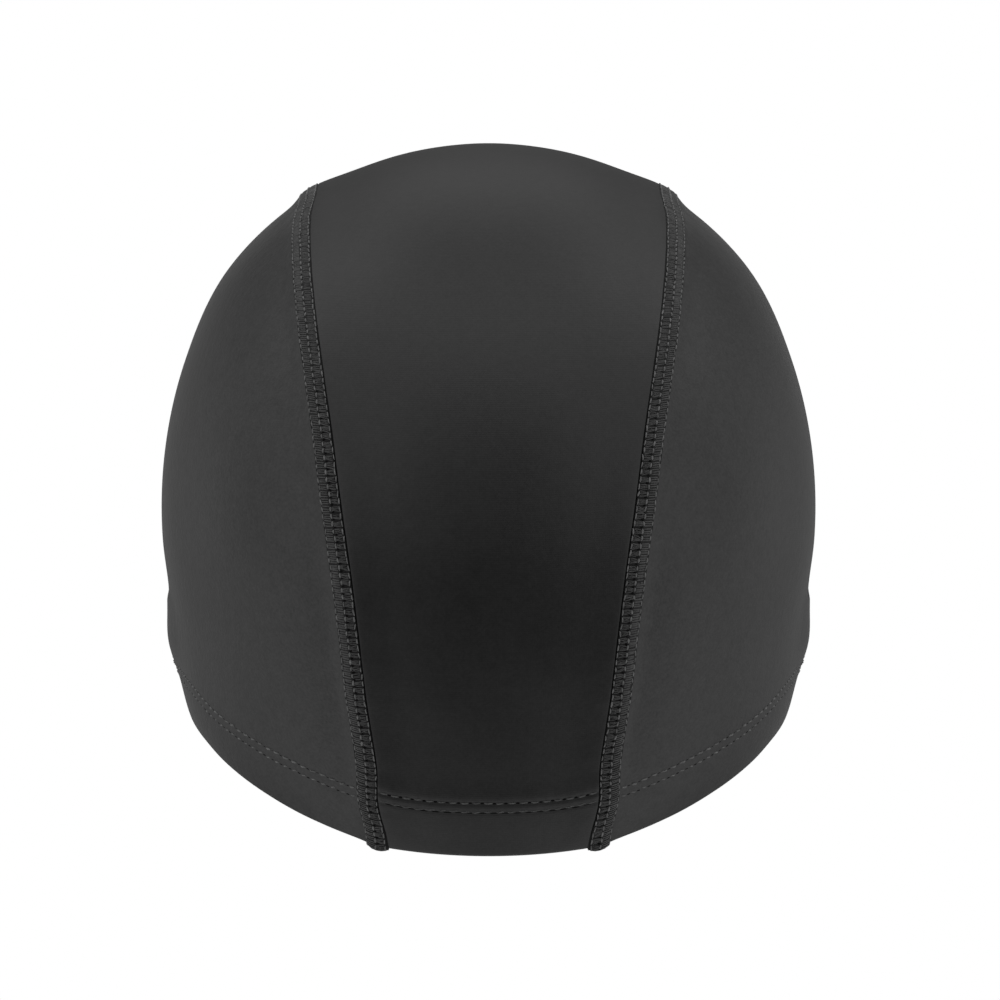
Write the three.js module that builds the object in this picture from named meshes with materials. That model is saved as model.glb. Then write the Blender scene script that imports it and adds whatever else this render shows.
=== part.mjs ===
// Swim cap of stretch cloth, in the shape that it takes when it is worn.
// Three panels are joined by two flat seams that run from the forehead over the crown to the nape,
// and each panel ends in a hem that is turned up on the inside.
// Millimetres, +Z up. The forehead is towards -Y, the nape towards +Y and the wearer's left towards +X.
// The origin is on the inside of the crown, where the cap sits on top of the head.
import * as THREE from "three";

// Cloth and seams
const CLOTH = 1.2; // one layer of cloth
const HEM = { layers: 2.4, depth: 15.4, seam_depth: 16.6, step: 1, blend: 0.16 };
const BAND = { width: 5.2, proud: 0.35, crown: 0.2 }; // raised flat seam
const GAP = 0.55; // between a seam band and the panel beside it
// A bulky seam lifts the cloth beside it, over a shorter way towards the ear.
const RIDGE = { rise: 1.35, inner: 7.5, outer: 2.8 };

// Worn form, outside of the cloth. Lengths are measured from a centre that lies under the crown.
const CROWN_Z = CLOTH;
const CROWN_RADIUS = 95;
const CENTRE = new THREE.Vector3(0, 0, CROWN_Z - CROWN_RADIUS);
const FULLNESS = 0.5; // how much squarer than an ellipse the widest level section is
const PROFILE = [
  { elevation: -90, side: 116, back: 122, front: 112 },
  { elevation: -60, side: 99, back: 111, front: 104 },
  { elevation: -45, side: 91, back: 102, front: 99.5 },
  { elevation: -30, side: 83.7, back: 97.4, front: 97 },
  { elevation: -15, side: 78.3, back: 97.4, front: 96 },
  { elevation: 0, side: 78.7, back: 99.2, front: 97 },
  { elevation: 15, side: 80.9, back: 100.2, front: 98.6 },
  { elevation: 30, side: 84.7, back: 100.4, front: 99 },
  { elevation: 45, side: 89.7, back: 99.8, front: 98 },
  { elevation: 60, side: 92.7, back: 98.2, front: 96.6 },
  { elevation: 75, side: 94.5, back: 96.3, front: 95.6 },
  { elevation: 90, side: CROWN_RADIUS, back: CROWN_RADIUS, front: CROWN_RADIUS },
];

// The cloth over each ear bulges a little.
const EAR = { rise: 2.4, y: 4, drop: 118.5, half_length: 17, half_height: 8.5 };

// Middle line of the seams: turn is the angle round the X axis, 0 at the back, 90 at the crown and
// 180 at the forehead, and offset is the distance from the middle plane.
const SEAM = [
  { turn: -75, offset: 22.5 },
  { turn: -58, offset: 25 },
  { turn: -50, offset: 26.3 },
  { turn: -45, offset: 26.9 },
  { turn: -40, offset: 28.6 },
  { turn: -34, offset: 29 },
  { turn: -24, offset: 31.3 },
  { turn: -13, offset: 33.3 },
  { turn: -4, offset: 35.1 },
  { turn: 6, offset: 37.4 },
  { turn: 15, offset: 39.2 },
  { turn: 24, offset: 41.2 },
  { turn: 36, offset: 43.4 },
  { turn: 48, offset: 44.6 },
  { turn: 58, offset: 44.7 },
  { turn: 67, offset: 43.7 },
  { turn: 77, offset: 43.4 },
  { turn: 90, offset: 43.2 },
  { turn: 125, offset: 41.8 },
  { turn: 160, offset: 40.5 },
  { turn: 215, offset: 38 },
];

// Lower edge: azimuth is 90 at the nape, 0 over the ear and -90 at the forehead, and drop is the
// distance below the crown. It has a corner where it crosses each seam at the nape.
const RIM = [
  { azimuth: -90, drop: 106.5 },
  { azimuth: -64, drop: 109.5 },
  { azimuth: -40, drop: 119.5 },
  { azimuth: -20, drop: 129.6 },
  { azimuth: 0, drop: 137 },
  { azimuth: 12, drop: 140 },
  { azimuth: 24, drop: 143.4 },
  { azimuth: 33, drop: 148.1 },
  { azimuth: 43, drop: 154 },
  { azimuth: 54, drop: 160.6 },
  { azimuth: 68.8, drop: 168.6 },
];
const NAPE_RIM = { azimuth: 68.8, drop: 168.6, middle_drop: 170.5 };

// How finely the cloth is divided
const CENTRE_COLUMNS = 12;
const CENTRE_ROWS = 46;
const HEM_SHARES = [0, 0.35, 0.7, 1]; // rows of the doubled cloth, as shares of its depth
const SIDE_COLUMNS = 30;
const SIDE_ROWS = 15;
const BACK_CORNER_TURN = 50; // where the top of a side panel's grid starts and ends
const FRONT_CORNER_TURN = 130;

// Ways of working out places on the cloth
const HALVINGS = 40;
const SMALL = 0.05; // step for the direction square to the cloth
const FAR = 150; // longer than any way from the inside to the cloth
const NAPE_TURNS = [-70, -20]; // the lower edge lies between these at the nape
const FRONT_TURNS = [150, 215]; // and between these at the forehead
const PROBE_TURN = 6; // turn over which the cloth's length for each degree is taken
const NEAR_SHARE = 0.01; // part of the lower edge over which its direction is taken

const COLOURS = { cloth: "#2c2c2e", thread: "#3a3a3d" };
const ROUGHNESS = { cloth: 0.6, thread: 0.75 };

// Value of a table's column at a place between its rows, by a smooth curve through the rows.
function along(table, key, column, at) {
  let row = 0;
  while (row < table.length - 2 && table[row + 1][key] < at) row += 1;
  const slope = (k) => {
    const before = table[Math.max(k - 1, 0)];
    const after = table[Math.min(k + 1, table.length - 1)];
    return (after[column] - before[column]) / (after[key] - before[key]);
  };
  const low = table[row];
  const high = table[row + 1];
  const span = high[key] - low[key];
  const t = THREE.MathUtils.clamp((at - low[key]) / span, 0, 1);
  const rise = t * t * (3 - 2 * t);
  return (
    low[column] * (1 - rise) +
    high[column] * rise +
    span * t * (1 - t) * (slope(row) * (1 - t) - slope(row + 1) * t)
  );
}

// Where a value that rises with its argument passes zero between two ends.
function crossing(value, low, high) {
  for (let halving = 0; halving < HALVINGS; halving += 1) {
    const middle = (low + high) / 2;
    if (value(middle) < 0) low = middle;
    else high = middle;
  }
  return (low + high) / 2;
}

const turnOf = (point) => {
  const turn = THREE.MathUtils.radToDeg(Math.atan2(point.z - CENTRE.z, point.y));
  return turn < -90 ? turn + 360 : turn;
};
const azimuthOf = (point) => THREE.MathUtils.radToDeg(Math.atan2(point.y, Math.abs(point.x)));
const seamOffset = (turn) => along(SEAM, "turn", "offset", turn);
const bell = (distance) => Math.exp(-distance * distance);

// Distance from the centre to the outside of the cloth in a unit direction, without the seams' ridges.
function plainReach(direction) {
  const level = Math.hypot(direction.x, direction.y);
  const elevation = THREE.MathUtils.radToDeg(Math.atan2(direction.z, level));
  const side = along(PROFILE, "elevation", "side", elevation);
  const end = along(PROFILE, "elevation", direction.y > 0 ? "back" : "front", elevation);
  const power = 2 + FULLNESS * level * level;
  const across = level > 0 ? Math.abs(direction.x) / level : 1;
  const lengthways = level > 0 ? Math.abs(direction.y) / level : 0;
  const smooth = ((across / side) ** power + (lengthways / end) ** power) ** (-1 / power);
  const point = direction.clone().multiplyScalar(smooth).add(CENTRE);
  const ear =
    EAR.rise *
    bell((point.y - EAR.y) / EAR.half_length) *
    bell((CROWN_Z - EAR.drop - point.z) / EAR.half_height);
  return smooth + ear;
}

// The same distance with the ridges.
function reach(direction) {
  const plain = plainReach(direction);
  const point = direction.clone().multiplyScalar(plain).add(CENTRE);
  const beyond = Math.abs(point.x) - seamOffset(turnOf(point));
  return plain + RIDGE.rise * bell(beyond / (beyond > 0 ? RIDGE.outer : RIDGE.inner));
}

// How far a point stands outside the cloth, along the line from the centre.
function standing(point, reachOf = reach) {
  const ray = point.clone().sub(CENTRE);
  const distance = ray.length();
  return distance - reachOf(ray.divideScalar(distance));
}

function onCloth(point) {
  const ray = point.clone().sub(CENTRE).normalize();
  return ray.clone().multiplyScalar(reach(ray)).add(CENTRE);
}

// Outward direction square to the cloth, without the ridges, so that walls side by side stay parallel.
function normalAt(point) {
  const part = (axis) => {
    const ahead = point.clone().setComponent(axis, point.getComponent(axis) + SMALL);
    const behind = point.clone().setComponent(axis, point.getComponent(axis) - SMALL);
    return standing(ahead, plainReach) - standing(behind, plainReach);
  };
  return new THREE.Vector3(part(0), part(1), part(2)).normalize();
}

// Point of the cloth on a line that starts inside the cap.
function hit(start, direction) {
  const place = (t) => start.clone().addScaledVector(direction, t);
  return place(crossing((t) => standing(place(t)), 0, FAR));
}

const atTurn = (x, turn) => {
  const angle = THREE.MathUtils.degToRad(turn);
  return hit(new THREE.Vector3(x, 0, CENTRE.z), new THREE.Vector3(0, Math.cos(angle), Math.sin(angle)));
};
const atAzimuth = (azimuth, z) => {
  const angle = THREE.MathUtils.degToRad(azimuth);
  return hit(new THREE.Vector3(0, 0, z), new THREE.Vector3(Math.cos(angle), Math.sin(angle), 0));
};

function rimZ(azimuth) {
  if (azimuth <= NAPE_RIM.azimuth) return CROWN_Z - along(RIM, "azimuth", "drop", azimuth);
  const share = (90 - azimuth) / (90 - NAPE_RIM.azimuth);
  return CROWN_Z - THREE.MathUtils.lerp(NAPE_RIM.middle_drop, NAPE_RIM.drop, share * share);
}

// Distance from the middle plane of a line that runs beside the seam, at a distance across the cloth.
function besideSeam(turn, distance) {
  const offset = seamOffset(turn);
  const middle = atTurn(offset, turn);
  const normal = normalAt(middle);
  const aside = new THREE.Vector3(1, 0, 0).addScaledVector(normal, -normal.x).normalize();
  const guess = distance * aside.x;
  const reached = atTurn(offset + guess, turn).sub(middle).dot(aside);
  return offset + (guess * distance) / reached;
}
const panelEdge = BAND.width / 2 + GAP;

// Turns at which a line of given distance from the middle plane meets the lower edge.
function rimTurns(offsetAt) {
  const above = (turn) => {
    const point = atTurn(offsetAt(turn), turn);
    return point.z - rimZ(azimuthOf(point));
  };
  const [low, high] = FRONT_TURNS;
  return { nape: crossing(above, ...NAPE_TURNS), front: -crossing((turn) => above(-turn), -high, -low) };
}

// Turn that lies a given length up the cloth from an end on the lower edge. Sense is 1 from the nape
// and -1 from the forehead.
function upFrom(end, sense, length, offsetAt) {
  const probe = end + sense * PROBE_TURN;
  const probed = atTurn(offsetAt(end), end).distanceTo(atTurn(offsetAt(probe), probe));
  return end + (sense * PROBE_TURN * length) / probed;
}

// Turns of the rows from the nape to the forehead: the hem's, the rows between the hems, and the hem's.
function stations(ends, hemDepth, offsetAt) {
  const hemRow = (end, sense) => (share) => upFrom(end, sense, share * (hemDepth - HEM.step), offsetAt);
  const start = upFrom(ends.nape, 1, hemDepth, offsetAt);
  const stop = upFrom(ends.front, -1, hemDepth, offsetAt);
  const between = [...Array(CENTRE_ROWS + 1).keys()].map((j) =>
    THREE.MathUtils.lerp(start, stop, j / CENTRE_ROWS),
  );
  const napeHem = HEM_SHARES.map(hemRow(ends.nape, 1));
  const frontHem = HEM_SHARES.map(hemRow(ends.front, -1)).reverse();
  return [...napeHem, ...between, ...frontHem];
}
const layersAtStation = (row, rows) =>
  Math.min(row, rows - 1 - row) < HEM_SHARES.length ? HEM.layers : CLOTH;

// Closed solid between an outer and an inner grid of points. Rows run from the first edge to the last.
function slab(outer, inner) {
  const rows = outer.length;
  const columns = outer[0].length;
  const positions = [...outer.flat(), ...inner.flat()].flatMap((point) => point.toArray());
  const outside = (row, column) => row * columns + column;
  const inside = (row, column) => rows * columns + outside(row, column);
  const faces = [];
  const quad = (a, b, c, d) => faces.push(a, b, c, a, c, d);
  for (let r = 0; r < rows - 1; r += 1) {
    for (let c = 0; c < columns - 1; c += 1) {
      quad(outside(r, c), outside(r, c + 1), outside(r + 1, c + 1), outside(r + 1, c));
      quad(inside(r, c), inside(r + 1, c), inside(r + 1, c + 1), inside(r, c + 1));
    }
  }
  for (let c = 0; c < columns - 1; c += 1) {
    quad(outside(0, c + 1), outside(0, c), inside(0, c), inside(0, c + 1));
    quad(outside(rows - 1, c), outside(rows - 1, c + 1), inside(rows - 1, c + 1), inside(rows - 1, c));
  }
  const last = columns - 1;
  for (let r = 0; r < rows - 1; r += 1) {
    quad(outside(r, 0), outside(r + 1, 0), inside(r + 1, 0), inside(r, 0));
    quad(outside(r + 1, last), outside(r, last), inside(r, last), inside(r + 1, last));
  }
  const geometry = new THREE.BufferGeometry();
  geometry.setAttribute("position", new THREE.Float32BufferAttribute(positions, 3));
  geometry.setIndex(faces);
  geometry.computeVertexNormals();
  return geometry;
}

// Panel whose grid is known on the outside. The inside lies one layer in, and two in the hem.
function panelGeometry(grid, layersAt) {
  const inner = grid.map((row, r) =>
    row.map((point) => point.clone().addScaledVector(normalAt(point), -layersAt(r))),
  );
  return slab(grid, inner);
}

// Centre panel, from the nape to the forehead. Rows are level and columns run along the head.
function centreGrid() {
  const edgeAt = (turn) => besideSeam(turn, -panelEdge);
  const columns = [...Array(CENTRE_COLUMNS + 1).keys()].map((i) => {
    const share = 1 - (2 * i) / CENTRE_COLUMNS;
    const offsetAt = (turn) => share * edgeAt(turn);
    const hemDepth = THREE.MathUtils.lerp(HEM.depth, HEM.seam_depth, share ** 4);
    return stations(rimTurns(offsetAt), hemDepth, offsetAt).map((turn) => atTurn(offsetAt(turn), turn));
  });
  return columns[0].map((_, row) => columns.map((column) => column[row]));
}

// Points of the lower edge of the left side panel, from the forehead to the nape, and of a line that
// lies a given depth above it.
function sideRim(ends, depth, seamDepth) {
  const edgeAt = (turn) => besideSeam(turn, panelEdge);
  const frontCorner = atTurn(edgeAt(ends.front), ends.front);
  const napeCorner = atTurn(edgeAt(ends.nape), ends.nape);
  const azimuthAt = (share) =>
    THREE.MathUtils.lerp(azimuthOf(frontCorner), azimuthOf(napeCorner), share);
  const rimPoint = (share) => atAzimuth(azimuthAt(share), rimZ(azimuthAt(share)));
  const points = [];
  for (let i = 0; i <= SIDE_COLUMNS; i += 1) {
    const share = i / SIDE_COLUMNS;
    const base = rimPoint(share);
    if (depth === 0) {
      points.push(base);
      continue;
    }
    const ahead = rimPoint(Math.min(share + NEAR_SHARE, 1));
    const tangent = ahead.sub(rimPoint(Math.max(share - NEAR_SHARE, 0))).normalize();
    const square = normalAt(base).cross(tangent).normalize();
    const upTurn =
      share < 0.5 ? upFrom(ends.front, -1, seamDepth, edgeAt) : upFrom(ends.nape, 1, seamDepth, edgeAt);
    const seamPoint = atTurn(edgeAt(upTurn), upTurn);
    const alongSeam = seamPoint.sub(share < 0.5 ? frontCorner : napeCorner);
    const free = THREE.MathUtils.smoothstep(Math.min(share, 1 - share), 0, HEM.blend);
    const step = alongSeam.lerp(square.multiplyScalar(depth), free);
    points.push(onCloth(base.add(step)));
  }
  return points;
}

// Left side panel: rows run from the forehead to the nape, from the lower edge up to the seam.
function sideGrid() {
  const edgeAt = (turn) => besideSeam(turn, panelEdge);
  const ends = rimTurns(edgeAt);
  const hemLine = sideRim(ends, HEM.depth, HEM.seam_depth);
  const rows = HEM_SHARES.map((part) =>
    sideRim(ends, part * (HEM.depth - HEM.step), part * (HEM.seam_depth - HEM.step)),
  );
  rows.push(hemLine);
  const seamPoint = (turn) => atTurn(edgeAt(turn), turn);
  const frontStart = upFrom(ends.front, -1, HEM.seam_depth, edgeAt);
  const napeStart = upFrom(ends.nape, 1, HEM.seam_depth, edgeAt);
  const top = (u) => seamPoint(THREE.MathUtils.lerp(FRONT_CORNER_TURN, BACK_CORNER_TURN, u));
  const front = (v) => seamPoint(THREE.MathUtils.lerp(frontStart, FRONT_CORNER_TURN, v));
  const back = (v) => seamPoint(THREE.MathUtils.lerp(napeStart, BACK_CORNER_TURN, v));
  const corners = [top(0), top(1)];
  for (let j = 1; j <= SIDE_ROWS; j += 1) {
    const v = j / SIDE_ROWS;
    const row = [];
    for (let i = 0; i <= SIDE_COLUMNS; i += 1) {
      const u = i / SIDE_COLUMNS;
      const upright = hemLine[i].clone().lerp(top(u), v);
      const level = front(v).lerp(back(v), u);
      const both = hemLine[0].clone().lerp(corners[0], v).lerp(
        hemLine[SIDE_COLUMNS].clone().lerp(corners[1], v),
        u,
      );
      const edge = i === 0 || i === SIDE_COLUMNS || j === SIDE_ROWS;
      const point = upright.add(level).sub(both);
      row.push(edge ? point : onCloth(point));
    }
    rows.push(row);
  }
  return rows;
}

// Left seam band: its section is swept from the nape to the forehead, beside the centre panel's rows.
function bandGeometry() {
  const innerEdge = (turn) => besideSeam(turn, -panelEdge);
  const turns = stations(rimTurns(innerEdge), HEM.seam_depth, innerEdge);
  const shares = [1, 0.5, -0.5, -1]; // across the band, from the side panel to the centre panel
  const outer = [];
  const inner = [];
  turns.forEach((turn, row) => {
    const point = atTurn(seamOffset(turn), turn);
    const normal = normalAt(point);
    const ahead = atTurn(seamOffset(turn + 1), turn + 1).sub(point).normalize();
    const aside = normal.clone().cross(ahead).normalize();
    const place = (share, height) =>
      point.clone().addScaledVector(aside, (share * BAND.width) / 2).addScaledVector(normal, height);
    const depth = layersAtStation(row, turns.length);
    outer.push(shares.map((share) => place(share, BAND.proud + (Math.abs(share) < 1 ? BAND.crown : 0))));
    inner.push(shares.map((share) => place(share, -depth)));
  });
  return slab(outer, inner);
}

// Mirror image in the middle plane, with its faces still pointing out.
function mirrored(geometry) {
  const copy = geometry.clone().scale(-1, 1, 1);
  const index = copy.index.array;
  for (let i = 0; i < index.length; i += 3) [index[i + 1], index[i + 2]] = [index[i + 2], index[i + 1]];
  copy.computeVertexNormals();
  return copy;
}

function addPiece(group, name, geometry, colour, roughness) {
  const material = new THREE.MeshStandardMaterial({ color: colour, roughness, metalness: 0 });
  const mesh = new THREE.Mesh(geometry, material);
  mesh.name = name;
  group.add(mesh);
}

const cap = new THREE.Group();

const centre = centreGrid();
const centrePanel = panelGeometry(centre, (row) => layersAtStation(row, centre.length));
addPiece(cap, "centre_panel", centrePanel, COLOURS.cloth, ROUGHNESS.cloth);

const side = panelGeometry(sideGrid(), (row) => (row < HEM_SHARES.length ? HEM.layers : CLOTH));
addPiece(cap, "side_panel_left", side, COLOURS.cloth, ROUGHNESS.cloth);
addPiece(cap, "side_panel_right", mirrored(side), COLOURS.cloth, ROUGHNESS.cloth);

const band = bandGeometry();
addPiece(cap, "seam_left", band, COLOURS.thread, ROUGHNESS.thread);
addPiece(cap, "seam_right", mirrored(band), COLOURS.thread, ROUGHNESS.thread);

export default cap;
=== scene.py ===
# Swim cap of stretch cloth in its worn shape, seen from behind: cloth panels, flat seams and hems.
from math import cos, pi, radians, sin, sqrt
from types import SimpleNamespace as Values

import bpy
import numpy as np
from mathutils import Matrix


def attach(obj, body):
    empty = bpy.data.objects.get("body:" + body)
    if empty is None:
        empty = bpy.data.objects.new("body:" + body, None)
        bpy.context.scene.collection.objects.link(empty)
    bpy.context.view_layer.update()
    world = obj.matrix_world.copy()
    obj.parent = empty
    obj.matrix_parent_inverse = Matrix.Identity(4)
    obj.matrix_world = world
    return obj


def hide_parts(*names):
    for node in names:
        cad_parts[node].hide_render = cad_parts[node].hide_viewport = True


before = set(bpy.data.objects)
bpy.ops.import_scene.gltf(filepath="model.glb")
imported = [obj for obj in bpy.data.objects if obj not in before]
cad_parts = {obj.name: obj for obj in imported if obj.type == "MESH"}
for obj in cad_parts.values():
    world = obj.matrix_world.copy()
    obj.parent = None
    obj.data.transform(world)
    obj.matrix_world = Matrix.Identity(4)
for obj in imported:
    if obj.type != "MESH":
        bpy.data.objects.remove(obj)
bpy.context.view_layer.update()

MM = 0.001
BODY = "root"
RANDOM = np.random.default_rng(11)


def by_name(names, table):
    """For each name its values, from a table with a line for each kind of value."""
    return {name: Values(**dict(zip(table, values))) for name, values in zip(names, zip(*table.values()))}


# Worn form, outside of the cloth, in millimetres, close to the frame's own panels.
# A turn is an angle about the centre, seen from the side: 0 level at the back, 90 at the crown.
# An azimuth is an angle seen from above: -90 in the middle of the front, 90 in the middle of the back.
CROWN_Z = 1.2
CROWN_RADIUS = 95.0
CENTRE = np.array([0.0, 0.0, CROWN_Z - CROWN_RADIUS])
FULLNESS = 0.5
PROFILE = {
    "elevation": [-90, -60, -45, -30, -15, 0, 15, 30, 45, 60, 75, 90],
    "side": [116, 99, 91, 83.9, 78.1, 78.7, 80.9, 84.7, 89.9, 92.75, 94.5, CROWN_RADIUS],
    "back": [122, 111, 102, 97.4, 97.4, 99.2, 100.2, 100.4, 99.8, 98.2, 96.3, CROWN_RADIUS],
    "front": [112, 104, 99.5, 97, 96, 97, 98.6, 99, 98, 96.6, 95.6, CROWN_RADIUS],
}
EAR = Values(rise=2.4, y=4.0, drop=118.5, half_length=17.0, half_height=8.5)
SEAM = {
    "turn": [-75, -58, -50, -45, -40, -34, -24, -13, -4, 6, 15, 24, 36, 48, 58, 67, 77, 90, 125, 160, 215],
    "offset": [
        22.5, 25, 26.3, 26.9, 28.6, 29, 31.3, 33.3, 35.1, 37.4, 39.2,
        41.2, 43.4, 44.6, 44.7, 43.7, 43.4, 43.2, 41.8, 40.5, 38,
    ],
}
RIDGE = Values(rise=1.35, inner=7.5, outer=2.8)
RIM = {
    "azimuth": [-90, -64, -40, -20, 0, 12, 24, 33, 43, 54, 68.8],
    "drop": [106.5, 109.5, 119.5, 129.6, 137, 139.8, 144.2, 149.3, 155.3, 161.8, 169.1],
}
NAPE_RIM = Values(azimuth=68.8, drop=168.9, middle_drop=171.0)

# How the form is searched and divided
FAR = 150.0  # beyond the cloth from anywhere inside
CLOTH_HALVINGS = 30
RIM_HALVINGS = 24
NAPE_TURNS = (-70.0, -20.0)
FRONT_TURNS = (150.0, 215.0)
TURN_TABLE = np.arange(-76.0, 216.0, 0.5)
PROBE_TURN = 6.0
PROBE_AZIMUTH = 0.4
PROBE_LENGTH = 0.05
NEAR_SEAM = (0, 0.2, 0.45, 0.75, 1.15, 1.7, 2.4, 3.3, 4.4)
CENTRE_GRID = Values(width=82.0, column=1.25, rows_between_hems=234)
SIDE_GRID = Values(rim=232.0, column=1.7, height=108.0, row=1.2)
CORNER_TURNS = Values(front=130.0, back=50.0)  # the side panel's upper corners, along the seam
CORNER_BLEND = 0.16  # share of the rim over which its rows turn from the seam's direction to their own

# Cloth and hem
CLOTH = 0.9
HEM = 1.8
RAW_EDGE = Values(above_stitches=0.8, slope=0.15)
ROW_APART = 2.35
STITCH_DEPTH = {
    "azimuth": [-90, -64, -40, 0, 14, 26, 38, 50, 62, 68],
    "depth": [13.6, 13.6, 13.5, 13.4, 13.8, 14.8, 15.4, 15.7, 15.8, 16.3],
}
CENTRE_DEPTH = Values(middle=15.5, seam=16.8)
FINE_BELOW = 4.4  # the hem's rows of points are close together from here below the upper stitches
LOW_SHARES = (0, 0.06, 0.14, 0.26, 0.4, 0.55, 0.7, 0.85, 1)
FINE_STEPS = (
    0.5, 0.85, 1.15, 1.4, 1.65, 1.95, 2.4, 3, 3.5, 3.9, 4.15, FINE_BELOW, 4.65, 4.9, 5.2, 5.35, 5.8, 6.6, 8,
)
STITCH_ROW = len(LOW_SHARES) + FINE_STEPS.index(FINE_BELOW)
HEM_PITCH = 2.7
STITCHES = by_name(("centre_upper", "centre_lower", "side_upper", "side_lower"), {
    "length": [1.6, 2.3, 1.5, 1.1],
    "radius": [0.2, 0.12, 0.24, 0.19],
    "proud": [0.04, 0.02, 0.06, 0.01],
    "sway": [0.03, 0.1, 0.08, 0.1],
    # The last three columns size the dark marks of painted shade at the needle holes
    "hole_length": [0.8, 1.9, 0.7, 0.8],
    "hole_radius": [0.24, 0.13, 0.1, 0.13],
    "hole_below": [0.0, 0.3, 0.0, 0.1],
})
# Needle holes are drawn as flat dark marks on the cloth: painted shade
SHADE_MARK_PROUD = 0.01
SHADE_MARK_FLAT = 0.25
INSIDE_RADIUS = Values(loops=0.14, rows=0.13)

# Relief of the cloth: sizes are how far it stands out or in, reaches are how far that carries
RELIEF = {
    "centre": Values(crease=0.08, reach=0.26, pucker=0.03, tuck=0.7, swell=0.4, lean=0.5),
    "side": Values(crease=0.05, reach=0.5, pucker=0.05, tuck=0.2, swell=0.0, lean=0.65),
}
PUCKERS = (
    Values(wavelengths=(3.5, 5.2, 8.3), share=1.0, slant=0.0, reach=3.2, seed=5),
    Values(wavelengths=(11, 17, 27), share=0.8, slant=0.7, reach=8.0, seed=6),
)
UPPER_TUCK = Values(size=0.22, reach=0.75)
LOWER_TUCK = Values(size=0.2, reach=0.6)
BELOW_TUCKS = Values(size=0.12, onset=0.7, rim_end=0.5, full=6.0)
SWELL = Values(reach=4.0, below=12.0)
LEAN_REACH = 12.0
PINCH = Values(size=0.05, wavelengths=(2.85, 8.6), reach=2.2, seed=8)
EAR_FOLD = Values(z=-107.2, rise=0.7, onset=0.8, fall=6.5, near=9.0, far=21.0)

# Seam: distances are across the band, from the centre panel to the side panel
BAND_INNER = -2.5
BAND_OUTER = 2.55
CREASE = 0.36  # open line between the band and the centre panel
CREASE_DEPTH = {
    "z": [-170, -145, -125, -112, -98, -78, -50, -25, 0],
    "depth": [0.5, 0.5, 0.75, 1.0, 1.0, 0.6, 0.25, 0.12, 0.1],
}
SIDE_GAP = 0.06
END_ROUND = 0.9
END_LEAST = 0.03
END_CORNER = 0.55  # how far the band's end steps back at its two corners
END_TURN = 0.16  # how far the band reaches past the cloth's lower edge, as a turn
UNDER_GAP = 0.1
HEM_END = (17.2, 19.5)  # the hem's inner layer ends over this stretch of the seam
FLANGE = 0.7
SEAM_MIDDLE = -HEM / 2  # height of the middle of the seam's thickness
FLANGE_END = Values(half_width=2.2, stretch=(0.6, 3.0), below_hem=0.3, rise=3.0, apart=0.2)
ACROSS = (-4.6, -3.4, -2.6, -1.3, 0.0, 1.3, 2.6, 3.4, 4.6)
SEAM_LINES = 560
BAND_LINES = 330
BAND_ENDS = np.array([0, 0.12, 0.3, 0.6, 0.95, 1.4])
BAND_SECTION = {
    "across": [
        -2.82, -2.82, -2.52, -2.42, -2.2, -1.2, 0.0, 1.2, 2.3, 2.55, 2.55, 4.1, 4.3, 4.1, -4.1, -4.3, -4.1,
    ],
    "height": [0, 0, 0, -0.1, 0.0, 0.02, -0.04, 0.02, 0.02, -0.08, 0, 0, -0.25, -FLANGE, -FLANGE, -0.25, 0],
    "under": [1, 0, 0, 0, 0, 0, 0, 0, 0, 0, 1, 1, 1, 1, 1, 1, 1],
    "crease": [0, 1, 1, 0, 0, 0, 0, 0, 0, 0, 0, 0, 0, 0, 0, 0, 0],
}
EDGE_POINTS = 6  # points of the section before the folded cloth starts
BAND_WAVES = Values(size=0.03, wavelengths=(1.75, 4.1, 7.7), first_seed=20)
CREASE_FLOOR = 0.9  # how deep the band goes down in the crease, as a share of the crease's depth

# Seam stitches: the stretches of the seam over which they change are measured from the nape
SEAM_PITCH = 1.75
FIRST_STITCH = 0.7
# The last slot holds near-black marks of painted shade, where the needle holes and the seam's openings lie
# in shadow
NEEDLE_SLOT, FAN_SLOT, RUNG_SLOT, PALE_SLOT, HEM_SLOT, SHADE_MARK_SLOT = range(6)
NEEDLE = by_name(("inner", "middle", "outer"), {
    "across": [-2.3, -0.05, 2.3],
    "length": [1.3, 1.1, 1.25],
    "radius": [0.18, 0.23, 0.19],
    "proud": [0.07, 0.07, 0.08],
})
FAN = Values(start=-0.28, end=-2.1, spread=(-0.64, -0.22, 0.22, 0.64), opening=(0.15, 0.8), radius=0.115)
# Dark flat strands of painted shade in the openings between two fans
OPENING_SHADE = Values(start=-0.22, end=-0.85, radius=0.21, proud=0.06, flat=0.3)
RUNG = Values(start=0.26, end=2.14, spread=(-0.57, 0.0, 0.57), radius=0.15)
FANS_CLOSE = (85, 150)
STRANDS_SLANT = (78, 125)
RUNGS_DARKEN = (18, 48)
RUNGS_WIDEN = (22, 45)
RUNGS_NARROW = (70, 88)
RUNGS_WIDEN_AGAIN = (132, 152)
LOOPER = Values(radius=0.14, below=0.08, end=3.2, shifts=(0.2, 0.7))

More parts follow.
